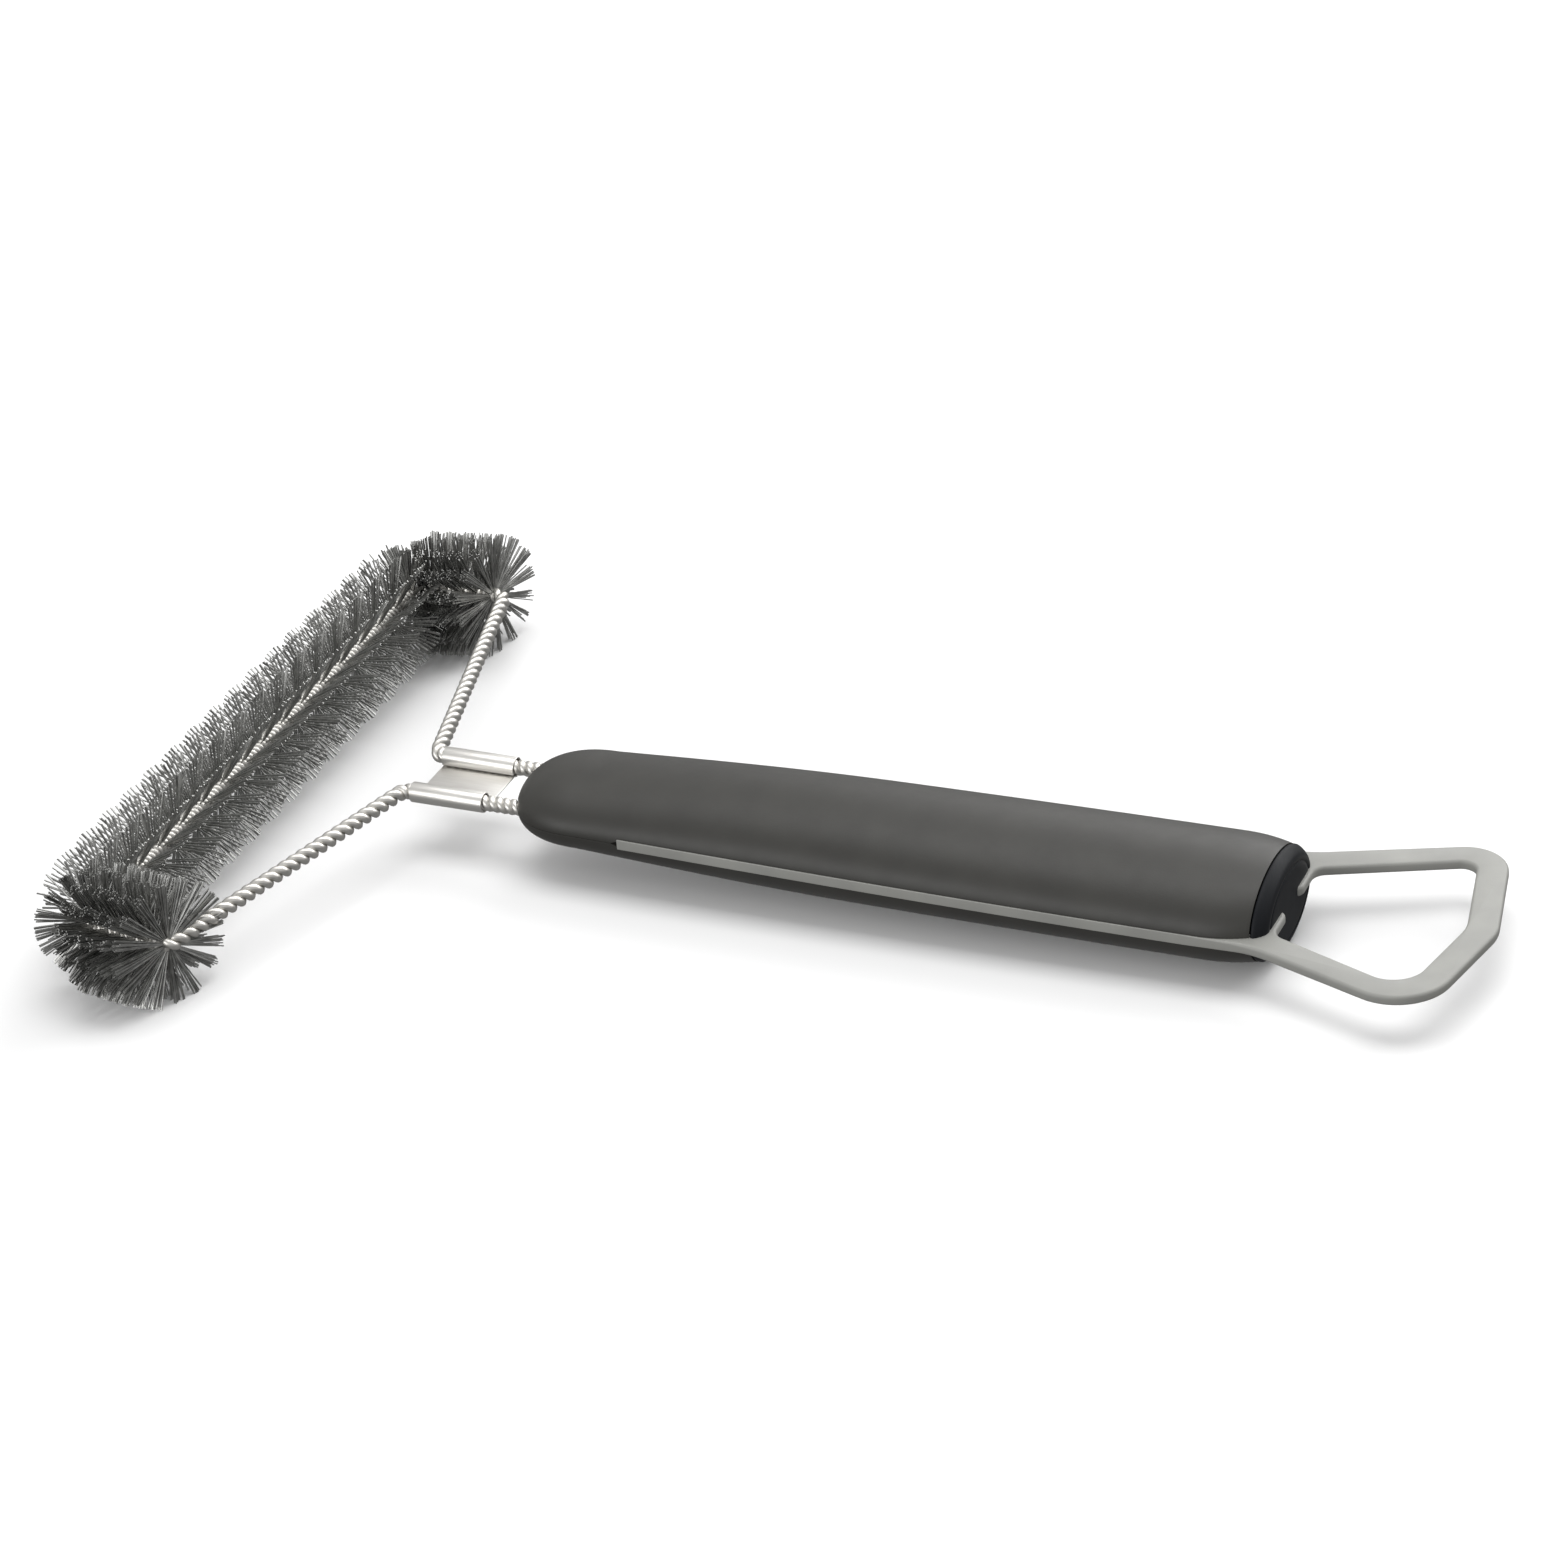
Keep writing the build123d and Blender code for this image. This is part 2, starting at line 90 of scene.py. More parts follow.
INSERT_THICKNESS = 2.4
RAIL_DEPTH = 3.2            # how far a rail reaches into the grip
RAIL_PROUD = 0.15           # how far a rail stands out of the grip
RAIL_FRONT = 55.6
RAIL_END = 198.0
FINGER_END = 4.6            # each finger's tip from the middle
LOOP_INNER_TIP = (246.6, 0.0)
LOOP_INNER_CORNER = (241.2, 26.9)
LOOP_OUTER_TIP = (253.6, 0.0)
LOOP_OUTER_CORNER = (246.5, 35.6)
LOOP_START = (205.0, 20.3)  # where its outer side leaves the grip
LOOP_START_RADIUS = 25.0
LOOP_TIP_RADIUS = 14.0
LOOP_ROOT_Y = 14.2          # where its inner side meets the finger on the cap
LOOP_ROOT_RADIUS = 3.5

BLOCK_MIDDLE = Vector((71.0, 0.0, 2.1))     # of the clamp block, which ties the two frames

SHELL_SCREW_PLACES = [48.0, 112.0, 180.0]
SHELL_SCREW_SEAT = -5.6
SCREW_HEAD_RADIUS = 2.7
SCREW_HEAD_HEIGHT = 1.9
RECESS_RADIUS = 3.1

# ---- dimensions that differ a little from the CAD ----------------------------------------------

SLIM_HALF_HEIGHT = 8.6
FINGER_WIDTH = 4.5
RIGHT_CORNER_RADII = (3.5, 9.5)     # of the loop, inside and outside
LEFT_CORNER_RADII = (7.0, 12.5)
LEG_BRISTLE_RADIUS = 15.3   # the tufts on the legs splay and reach a little further
CORNER_BRISTLE_RADIUS = 13.0    # and round the corners they are shorter

# ---- dimensions of the details -----------------------------------------------------------------

STEM_RADIUS = 1.9           # over both wires
STUB_HALF_TURN = 1.9        # length of stem over which the twisted pair turns by half
ARM_HALF_TURN = 3.0
BAR_HALF_TURN = 1.56
TWIST_CHANGE_LENGTH = 4.0   # distance past the arms' ends over which the twist tightens
WIRE_RADIUS = 1.0           # the twisted wires press flat against each other
TIGHT_TWIST_SHARE = 0.52    # a tight twist leaves this share of its half turn for a wire's radius
STRAND_SIDES = 12
STRAND_STEP = 0.2

LEG_WIRE = 0.34             # thickness of the bristles
BAR_WIRE = 0.36
BRISTLE_SIDES = 4
BRISTLE_STATIONS = 3
BOW = 0.05                  # how far a bristle bends out of line, more or less
TIP_SHORTFALL = 0.2         # and how much shorter than the longest it is
CORNER_TURN = 0.25          # the stem counts as a corner where it runs this far off both axes
LEG_RING_PITCH = 3.9
CORNER_RING_PITCH = 2.8
LEG_TUFTS = 16              # tufts in a ring on the legs and corners
LEG_TUFT_WIRES = 14
LEG_TUFT_TURN = 0.02        # by which a tuft is out of its place in the ring, in radians
LEG_TUFT_TIP = (2.8, 2.6)   # a tuft's width at its tip, round the stem and along it
LEG_TUFT_FOOT = 0.5         # and where it leaves the stem, both ways
LEG_ROOT_RADIUS = 1.2
BAR_RING_PITCH = BAR_HALF_TURN
BAR_TUFTS = 14              # slim tufts in a ring on the front bar
BAR_TUFT_WIRES = 2
BAR_TUFT_SPREAD = math.radians(2)   # angle that the wires of a tuft take up
BAR_TIP_DRIFT = 0.1         # of a tip along the bar
BAR_ROOT_RADIUS = 0.9
LOBE_LENGTH = 9.85          # the bar's tips rise and fall a little in this length
LOBE_SHIFT = -5.0           # place of the lobes, along the front bar
BAR_ROOT_SHARE = 0.28       # share of a lobe that its roots take up
BAR_LOBE_DROP = 0.08        # share by which the tips are lower between two lobes
FIRST_RING_X = -22.3        # the rings start in the bends at the arms' ends
LEG_START_X = -24.7
END_RING_LEANS = (math.radians(-12), math.radians(-24))   # of the left and right end rings
LEAN_LENGTH = 18.0          # length of stem over which the lean dies away

ROLL_RADIUS = 2.2           # centre line of the clip's rolled sheet
ROLL_SHEET = 0.36           # thickness of the sheet
ROLL_BLEND = 0.7            # radius where the flat sheet turns into the roll
ROLL_START_TURN = math.radians(12)  # where the roll takes over from that blend
ROLL_END_GAP = math.radians(20)     # left open between the roll's end and the flat sheet
CLIP_EDGE_RADIUS = 0.12

TUNNEL_RADIUS = 2.15        # holes for the stem in the grip's nose
PARTING_GAP = 0.05          # of each shell over the parting plane
RAIL_GAP = 0.03             # between a shell and the rail
STEP_LEAD = 1.0             # the shells' edges step up over the rail from this far before its tip
STEP_LENGTH = 1.6
SHELL_EDGE_RADIUS = 0.22
RAIL_EDGE_RADIUS = 0.12
LOOP_EDGE_RADIUS = 0.75
LOOP_ROUNDING_X = 196       # from here on the edges turn from the rails' to the loop's rounding
LOOP_ROUNDING_LENGTH = 8

CROSS_LENGTH = 3.0          # the cross in a screw's head
CROSS_WIDTH = 0.6
CROSS_DEPTH = 1.1


# ---- placing -----------------------------------------------------------------------------------

def rest_tilt():
    """Angle by which the brush leans back, standing on its bristles and on the grip's rear."""
    run = math.hypot(FULL_WIDTH_X - (ARM_END[0] - FIRST_TUFT), BRISTLE_RADIUS)
    return math.asin((BRISTLE_RADIUS - FULL_HALF_HEIGHT) / run)


def placement():
    """The matrix from the brush's own frame in mm to the row's frame in m."""
    turn = Matrix.Rotation(rest_tilt(), 4, "Y")
    low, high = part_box("wire_clamp_block")
    middle = (low + high) / 2 / MM
    shift = middle - turn @ BLOCK_MIDDLE
    return Matrix.Scale(MM, 4) @ Matrix.Translation(shift) @ turn


PLACE = placement()


# ---- materials ---------------------------------------------------------------------------------

def add_node(tree, kind, **inputs):
    node = tree.nodes.new(kind)
    for name, value in inputs.items():
        node.inputs[name.replace("_", " ")].default_value = value
    return node


def noise(tree, scale, detail=3.0, stretch=(1, 1, 1)):
    """Noise over the object's own coordinates; scale counts features per metre."""
    place = tree.nodes.new("ShaderNodeTexCoord")
    mapping = add_node(tree, "ShaderNodeMapping", Scale=stretch)
    texture = add_node(tree, "ShaderNodeTexNoise", Scale=scale, Detail=detail)
    tree.links.new(place.outputs["Object"], mapping.inputs["Vector"])
    tree.links.new(mapping.outputs["Vector"], texture.inputs["Vector"])
    return texture.outputs["Fac"]


def ramp(tree, source, low, high, low_at=0.3, high_at=0.7):
    """A colour that runs from low to high as source rises."""
    node = tree.nodes.new("ShaderNodeValToRGB")
    node.color_ramp.elements[0].position = low_at
    node.color_ramp.elements[0].color = (*low, 1)
    node.color_ramp.elements[1].position = high_at
    node.color_ramp.elements[1].color = (*high, 1)
    tree.links.new(source, node.inputs["Fac"])
    return node.outputs["Color"]


def to_range(tree, source, low, high):
    node = add_node(tree, "ShaderNodeMapRange", To_Min=low, To_Max=high)
    tree.links.new(source, node.inputs["Value"])
    return node.outputs["Result"]


def bump(tree, source, depth):
    """A normal from a height; depth is in metres."""
    node = add_node(tree, "ShaderNodeBump", Strength=1.0, Distance=depth)
    tree.links.new(source, node.inputs["Height"])
    return node.outputs["Normal"]


def new_material(name):
    material = bpy.data.materials.new(name)
    material.use_nodes = True
    return material, material.node_tree, material.node_tree.nodes["Principled BSDF"]


def plastic(name, dark, light, rough, shine=0.5, grain_size=0.00035, grain_depth=0.000012):
    """Moulded plastic with an eroded grain, faint mottling and uneven gloss."""
    material, tree, shader = new_material(name)
    shader.inputs["Specular IOR Level"].default_value = shine
    mottle = noise(tree, scale=90, detail=4)
    tree.links.new(ramp(tree, mottle, dark, light), shader.inputs["Base Color"])
    unevenness = noise(tree, scale=260, detail=3)
    gloss = to_range(tree, unevenness, rough - 0.05, rough + 0.05)
    tree.links.new(gloss, shader.inputs["Roughness"])
    grain = noise(tree, scale=1 / grain_size, detail=2)
    tree.links.new(bump(tree, grain, grain_depth), shader.inputs["Normal"])
    return material


def steel(name, dark, light, rough, stretch=(1, 1, 1), streak_scale=900, depth=0.000006):
    """Drawn or rolled steel with fine streaks along the metal."""
    material, tree, shader = new_material(name)
    shader.inputs["Metallic"].default_value = 1.0
    streaks = noise(tree, streak_scale, detail=4, stretch=stretch)
    tree.links.new(ramp(tree, streaks, dark, light), shader.inputs["Base Color"])
    unevenness = noise(tree, streak_scale / 2, detail=3, stretch=stretch)
    gloss = to_range(tree, unevenness, rough - 0.06, rough + 0.08)
    tree.links.new(gloss, shader.inputs["Roughness"])
    tree.links.new(bump(tree, streaks, depth), shader.inputs["Normal"])
    return material


def grip_plastic():
    return plastic("grip_plastic", (0.027, 0.026, 0.023), (0.034, 0.033, 0.029), rough=0.47, shine=0.42)


def cap_plastic():
    return plastic("cap_plastic", (0.006, 0.007, 0.009), (0.010, 0.011, 0.013), rough=0.5, shine=0.13)


def insert_plastic():
    return plastic("insert_plastic", (0.26, 0.26, 0.245), (0.30, 0.30, 0.28), rough=0.45, shine=0.4)


def inner_plastic():
    return plastic("inner_plastic", (0.04, 0.04, 0.04), (0.06, 0.06, 0.06), rough=0.5)


def stem_steel():
    return steel("stem_steel", (0.60, 0.585, 0.555), (0.70, 0.685, 0.65), rough=0.38)


def bristle_steel():
    return steel("bristle_steel", (0.30, 0.30, 0.29), (0.50, 0.50, 0.485), rough=0.4, streak_scale=500)


def clip_steel():
    """Rolled sheet, with its grain along the rolls."""
    return steel("clip_steel", (0.70, 0.685, 0.655), (0.77, 0.755, 0.725), rough=0.36,
                 stretch=(0.06, 1, 1), streak_scale=2500)


def inner_steel():
    return steel("inner_steel", (0.42, 0.42, 0.41), (0.56, 0.56, 0.55), rough=0.35)


def screw_steel():
    return steel("screw_steel", (0.38, 0.38, 0.37), (0.50, 0.50, 0.49), rough=0.32)


MATERIALS = {
    "grip_plastic": grip_plastic(),
    "cap_plastic": cap_plastic(),
    "insert_plastic": insert_plastic(),
    "inner_plastic": inner_plastic(),
    "stem_steel": stem_steel(),
    "bristle_steel": bristle_steel(),
    "clip_steel": clip_steel(),
    "inner_steel": inner_steel(),
    "screw_steel": screw_steel(),
}


# ---- mesh helpers ------------------------------------------------------------------------------

def new_mesh(name, points, faces):
    """A mesh from points in the brush's own frame."""
    mesh = bpy.data.meshes.new(name)
    mesh.from_pydata([PLACE @ Vector(point) for point in points], [], faces)
    return mesh


def new_body(name, data):
    """An object in the scene with a mesh, a light or a camera as its data."""
    body = bpy.data.objects.new(name, data)
    bpy.context.scene.collection.objects.link(body)
    return body


def turn_outwards(mesh):
    shape = bmesh.new()
    shape.from_mesh(mesh)
    bmesh.ops.recalc_face_normals(shape, faces=shape.faces)
    shape.to_mesh(mesh)
    shape.free()


def add_piece(name, points, faces, slot, replaced, smooth_angle=35):
    """A piece of the brush that stands for the CAD nodes named in replaced."""
    finish_piece(name, new_mesh(name, points, faces), slot, replaced, smooth_angle)


def finish_piece(name, mesh, slot, replaced, smooth_angle=35):
    turn_outwards(mesh)
    mesh.materials.clear()
    mesh.materials.append(MATERIALS[slot])
    mesh.shade_smooth()
    mesh.set_sharp_from_angle(angle=math.radians(smooth_angle))
    piece = new_body(name, mesh)
    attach(piece, "root")
    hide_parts(*replaced)


def cut_away(body, tools):
    """Gives a body one modifier for each tool that is cut out of it."""
    for tool in tools:
        cut = body.modifiers.new("cut", "BOOLEAN")
        cut.object = tool
        cut.operation = "DIFFERENCE"
        cut.solver = "EXACT"


def applied(body):
    """The mesh of a body with its modifiers applied; the body itself is removed."""
    graph = bpy.context.evaluated_depsgraph_get()
    mesh = bpy.data.meshes.new_from_object(body.evaluated_get(graph))
    bpy.data.objects.remove(body)
    return mesh


def skin_faces(rows, columns, closed_columns):
    """Quads between neighbouring rows of a grid of points."""
    faces = []
    for row in range(rows - 1):
        for column in range(columns if closed_columns else columns - 1):
            after = (column + 1) % columns
            faces.append((row * columns + column, row * columns + after,
                          (row + 1) * columns + after, (row + 1) * columns + column))
    return faces


def rounded_route(corners, radii, step=math.radians(6)):
    """Points along a plane route whose corners are rounded; the end corners are kept."""
    corners = [Vector(corner) for corner in corners]
    points = [corners[0]]
    for before, corner, after, radius in zip(corners, corners[1:], corners[2:], radii):
        points += corner_arc(before, corner, after, radius, step)
    return points + [corners[-1]]


def rounded_outline(corners, radii, step=math.radians(6)):
    """Points of a closed plane outline with rounded corners."""
    corners = [Vector(corner) for corner in corners]
    points = []
    for index, radius in enumerate(radii):
        before = corners[index - 1]
        after = corners[(index + 1) % len(corners)]
        points += corner_arc(before, corners[index], after, radius, step)
    return points


def corner_arc(before, corner, after, radius, step):
    """The arc that rounds one corner, as points; the corner itself when the radius is 0."""
    if radius == 0:
        return [corner]
    to_before = (before - corner).normalized()
    to_after = (after - corner).normalized()
    half_angle = to_before.angle(to_after) / 2
    turn = math.pi - 2 * half_angle
    bisector = (to_before + to_after).normalized()
    centre = corner + bisector * (radius / math.sin(half_angle))
    start = corner + to_before * (radius / math.tan(half_angle)) - centre
    side = 1 if to_before.x * to_after.y - to_before.y * to_after.x < 0 else -1
    count = max(2, math.ceil(turn / step))
    return [centre + Matrix.Rotation(side * turn * i / count, 2) @ start for i in range(count + 1)]


def inward_normals(outline):
    """Unit normals that point into a closed outline, one at each point."""
    area = sum(a.x * b.y - b.x * a.y for a, b in zip(outline, outline[1:] + outline[:1]))
    side = 1 if area > 0 else -1
    normals = []
    for index, point in enumerate(outline):
        along = (point - outline[index - 1]).normalized()
        along += (outline[(index + 1) % len(outline)] - point).normalized()
        along.normalize()
        normals.append(Vector((-along.y, along.x)) * side)
    return normals


def rounded_plate(outline, bottom, top, edge_radii, steps=5):
    """Points and faces of a plate over a closed outline, with its long edges rounded.

    The points are (u, v, w): u and v in the outline's plane and w from bottom to top."""
    normals = inward_normals(outline)
    middle = (bottom + top) / 2
    half = (top - bottom) / 2
    angles = [math.pi / 2 * index / steps for index in range(steps + 1)]
    levels = [(-1, angle) for angle in reversed(angles)] + [(1, angle) for angle in angles]
    points = []
    for side, angle in levels:
        for spot, normal, radius in zip(outline, normals, edge_radii):
            inset = spot + normal * radius * (1 - math.cos(angle))
            points.append((inset.x, inset.y, middle + side * (half - radius + radius * math.sin(angle))))
    count = len(outline)
    faces = skin_faces(len(levels), count, True)
    faces.append(tuple(range(count))[::-1])
    faces.append(tuple(range((len(levels) - 1) * count, len(levels) * count)))
    return points, faces


def lathe(profile, sides, section):
    """Points and faces of a closed body; section(station, angle) gives a point on each ring."""
    points = [section(station, 2 * math.pi * side / sides)
              for station in profile for side in range(sides)]
    faces = skin_faces(len(profile), sides, True)
    faces.append(tuple(range(sides))[::-1])
    faces.append(tuple(range((len(profile) - 1) * sides, len(profile) * sides)))
    return points, faces


def cutter(points, faces):
    """A body for cutting others, to be removed after use."""
    return new_body("cutter", new_mesh("cutter", points, faces))


def round_bar(radius, axis_point, direction, length, sides=48):
    """Points and faces of a round bar."""
    direction = Vector(direction)
    across = direction.orthogonal().normalized()
    other = direction.cross(across)
    start = Vector(axis_point)

    def section(distance, angle):
        spoke = across * math.cos(angle) + other * math.sin(angle)
        return start + direction * distance + spoke * radius

    return lathe([0, length], sides, section)


# ---- stem --------------------------------------------------------------------------------------

class Route:
    """The stem's centre line, measured by its length."""

    def __init__(self, points):
        self.points = points
        self.marks = [0.0]
        for first, second in zip(points, points[1:]):
            self.marks.append(self.marks[-1] + (second - first).length)
        self.length = self.marks[-1]
        self.first_ring = self.distance_past(FIRST_RING_X)
        self.leg_start = self.distance_past(LEG_START_X)

    def at(self, distance):
        """The place and the direction of the route at a distance from its start."""
        distance = min(max(distance, 0.0), self.length)
        low, high = 0, len(self.marks) - 1
        while high - low > 1:
            middle = (low + high) // 2
            if self.marks[middle] <= distance:
                low = middle
            else:
                high = middle
        share = (distance - self.marks[low]) / (self.marks[high] - self.marks[low])
        spot = self.points[low].lerp(self.points[high], share)
        along = self.vertex_direction(low).lerp(self.vertex_direction(high), share).normalized()
        return spot, along

    def distance_past(self, x):
        """The distance at which the first arm gets past x."""
        step = 0.05
        distance = 0.0
        while self.at(distance)[0].x > x:
            distance += step
        return distance

    def vertex_direction(self, index):
        before = self.points[max(index - 1, 0)]
        after = self.points[min(index + 1, len(self.points) - 1)]
        return (after - before).normalized()


def stem_route():
    half = [(STEM_TAIL_END, STEM_SPACING), CLIP_BEND, ARM_END, FRONT_CORNER]
    left = [(x, -y) for x, y in half]
    radii = [CLIP_BEND_RADIUS, ARM_END_RADIUS, FRONT_CORNER_RADIUS]
    return Route(rounded_route(left + half[::-1], radii + radii[::-1], math.radians(4)))


def half_turn_at(spot):
    """Length over which the twisted pair turns by half at a place on the stem."""
    if spot.x > CLIP_BEND[0]:
        return STUB_HALF_TURN
    to_bar = min(max((ARM_END[0] - spot.x) / TWIST_CHANGE_LENGTH, 0.0), 1.0)
    return ARM_HALF_TURN + (BAR_HALF_TURN - ARM_HALF_TURN) * to_bar


def twisted_strands(route):
    """The two wires of the stem, twisted round each other to the right."""
    count = int(route.length / STRAND_STEP)
    twist = 0.0
    lines = ([], [])
    for index in range(count + 1):
        spot, along = route.at(index * route.length / count)
        spoke = turned_spoke(along, twist)
        half_turn = half_turn_at(spot)
        radius = min(WIRE_RADIUS, half_turn * TIGHT_TWIST_SHARE)
        for line, side in zip(lines, (1, -1)):
            outward = spoke * side
            line.append((spot.to_3d() + outward * (STEM_RADIUS - radius), outward, radius))
        twist += math.pi * route.length / count / half_turn
    for line, letter in zip(lines, "ab"):
        points, faces = swept_wire(line)
        add_piece(f"stem_strand_{letter}", points, faces, "stem_steel", [f"stem_wire_{letter}"], 80)


def turned_spoke(along, angle):
    """The direction at right angles to the stem, turned round it from the head's plane."""
    across = Vector((-along.y, along.x, 0))
    return across * math.cos(angle) + Vector((0, 0, 1)) * math.sin(angle)


def swept_wire(line):
    """A round wire along points that each carry an outward direction and the wire's radius."""
    points = []
    for index, (spot, outward, radius) in enumerate(line):
        before = line[max(index - 1, 0)][0]
        after = line[min(index + 1, len(line) - 1)][0]
        along = (after - before).normalized()
        first = (outward - along * outward.dot(along)).normalized()
        second = along.cross(first)
        for side in range(STRAND_SIDES):
            angle = 2 * math.pi * side / STRAND_SIDES
            points.append(spot + (first * math.cos(angle) + second * math.sin(angle)) * radius)
    faces = skin_faces(len(line), STRAND_SIDES, True)
    faces.append(tuple(range(STRAND_SIDES))[::-1])
    faces.append(tuple(range((len(line) - 1) * STRAND_SIDES, len(line) * STRAND_SIDES)))
    return points, faces


# ---- bristles ----------------------------------------------------------------------------------

def section_name(spot, along):
    """The CAD node that holds the bristles at a place on the stem."""
    side = "right" if spot.y > 0 else "left"
    leg_middle_x = (ARM_END[0] + FRONT_CORNER[0]) / 2
    turning = min(abs(along.x), abs(along.y)) > CORNER_TURN
    if turning and spot.x < leg_middle_x:
        return f"bristles_{side}_corner"
    if abs(along.x) > abs(along.y) or spot.x > leg_middle_x:
        return f"bristles_{side}_leg"
    half_bar = FRONT_CORNER[1]
    number = int((spot.y + half_bar) / (2 * half_bar) * BAR_SECTIONS) + 1
    return f"bristles_bar_{number}"


def ring_axis(route, distance):
    """The direction that a ring faces: along the stem, but straight and leaning at the ends."""
    along = route.at(min(max(distance, route.leg_start), route.length - route.leg_start))[1]
    from_ends = (distance - route.first_ring, route.length - route.first_ring - distance)
    lean = 0.0
    for from_end, end_lean in zip(from_ends, END_RING_LEANS):
        lean += end_lean * max(1 - from_end / LEAN_LENGTH, 0.0)
    return (Matrix.Rotation(lean, 2) @ along).to_3d()


def bristle(points, faces, start, tip, bow, thickness):
    """Adds one wire bristle, a thin bar with a slight bow."""
    along = (tip - start).normalized()
    first = along.orthogonal().normalized()
    second = along.cross(first)
    base = len(points)
    end_base = base + (BRISTLE_STATIONS - 1) * BRISTLE_SIDES
    for station in range(BRISTLE_STATIONS):
        share = station / (BRISTLE_STATIONS - 1)
        middle = start.lerp(tip, share) + bow * math.sin(math.pi * share)
        for side in range(BRISTLE_SIDES):
            angle = 2 * math.pi * side / BRISTLE_SIDES
            spoke = first * math.cos(angle) + second * math.sin(angle)
            points.append(middle + spoke * thickness / 2)
    skin = skin_faces(BRISTLE_STATIONS, BRISTLE_SIDES, True)
    faces += [tuple(base + corner for corner in face) for face in skin]
    faces.append(tuple(end_base + side for side in range(BRISTLE_SIDES)))
    faces.append(tuple(base + side for side in range(BRISTLE_SIDES))[::-1])


def small_bow(chance):
    return Vector([chance.gauss(0, BOW) for _ in range(3)])


def leg_ring(points, faces, route, distance, reach, chance):
    """One ring of tufts on a leg; the lowest tips are pressed level by what the head stands on."""
    centre = route.at(distance)[0].to_3d()
    axis = ring_axis(route, distance)
    for number in range(LEG_TUFTS):
        angle = number * 2 * math.pi / LEG_TUFTS + chance.gauss(0, LEG_TUFT_TURN)
        spoke = turned_spoke(axis, angle)
        across = turned_spoke(axis, angle + math.pi / 2)
        for wire in range(LEG_TUFT_WIRES):
            aside = (wire + chance.random()) / LEG_TUFT_WIRES - 0.5
            along = chance.random() - 0.5
            foot = (across * aside + axis * along) * LEG_TUFT_FOOT
            start = centre + spoke * LEG_ROOT_RADIUS + foot
            tip = centre + spoke * (reach - abs(chance.gauss(0, TIP_SHORTFALL)))
            tip += across * aside * LEG_TUFT_TIP[0] + axis * along * LEG_TUFT_TIP[1]
            tip.z = max(tip.z, -BRISTLE_RADIUS)
            bristle(points, faces, start, tip, small_bow(chance), LEG_WIRE)


def off_lobe(distance, angle):
    """How far a place along the bar is from the middle of the nearest lobe in one direction."""
    place = (distance - LOBE_SHIFT) / LOBE_LENGTH - angle / math.pi
    return (place - round(place)) * LOBE_LENGTH


def bar_ring(points, faces, route, distance, chance):
    """One ring of slim tufts on the bar; their roots are drawn towards the lobes' middles."""
    centre = route.at(distance)[0].to_3d()
    axis = ring_axis(route, distance)
    for number in range(BAR_TUFTS):
        tuft_angle = math.pi / 4 + number * 2 * math.pi / BAR_TUFTS
        aside = off_lobe(distance - route.length / 2, tuft_angle)
        root = route.at(distance - aside * (1 - BAR_ROOT_SHARE))[0].to_3d()
        reach = BRISTLE_RADIUS * (1 - BAR_LOBE_DROP * (2 * aside / LOBE_LENGTH) ** 2)
        for _ in range(BAR_TUFT_WIRES):
            angle = tuft_angle + BAR_TUFT_SPREAD * (chance.random() - 0.5)
            spoke = turned_spoke(axis, angle)
            tip = centre + spoke * (reach - abs(chance.gauss(0, TIP_SHORTFALL)))
            tip += axis * chance.gauss(0, BAR_TIP_DRIFT)
            start = root + spoke * BAR_ROOT_RADIUS
            bristle(points, faces, start, tip, small_bow(chance), BAR_WIRE)


def bristles(route):
    """Every ring of bristles, from one arm's end round the front to the other."""
    chance = random.Random(11)
    distance = route.first_ring
    sections = {}
    while distance <= route.length - route.first_ring:
        name = section_name(*route.at(distance))
        points, faces = sections.setdefault(name, ([], []))
        if "bar" in name:
            bar_ring(points, faces, route, distance, chance)
            distance += BAR_RING_PITCH
        elif "corner" in name:
            leg_ring(points, faces, route, distance, CORNER_BRISTLE_RADIUS, chance)
            distance += CORNER_RING_PITCH
        else:
            leg_ring(points, faces, route, distance, LEG_BRISTLE_RADIUS, chance)
            distance += LEG_RING_PITCH
    for name, (points, faces) in sections.items():
        piece_name = name.replace("bristles", "wire_bristles")
        add_piece(piece_name, points, faces, "bristle_steel", [name], 60)


# ---- clip --------------------------------------------------------------------------------------

def roll_line():
    """Centre line of the right half of the clip's section, from the middle to the roll's end."""
    joint = math.pi + math.asin(-CLIP_SHEET_Z / ROLL_RADIUS)
    tangent = Vector((-math.sin(joint), math.cos(joint)))
    centre = Vector((STEM_SPACING, 0))
    touch = centre + Vector((math.cos(joint), math.sin(joint))) * ROLL_RADIUS
    line = corner_arc(Vector((0, touch.y)), touch, touch + tangent, ROLL_BLEND, math.radians(10))
    start = joint + ROLL_START_TURN
    end = joint + 2 * math.pi - ROLL_END_GAP
    steps = 60
    for index in range(steps + 1):
        angle = start + (end - start) * index / steps
        line.append(centre + Vector((math.cos(angle), math.sin(angle))) * ROLL_RADIUS)
    return line


def clip_outline():
    """Closed outline of the rolled sheet, in the plane across the brush."""
    right = roll_line()
    left = [Vector((-point.x, point.y)) for point in reversed(right)]
    line = left + right
    offsets = []
    for index, point in enumerate(line):
        before = line[max(index - 1, 0)]
        after = line[min(index + 1, len(line) - 1)]
        along = (after - before).normalized()
        offsets.append(Vector((-along.y, along.x)) * ROLL_SHEET / 2)
    upper = [point + offset for point, offset in zip(line, offsets)]
    lower = [point - offset for point, offset in zip(line, offsets)]
    return upper + lower[::-1]


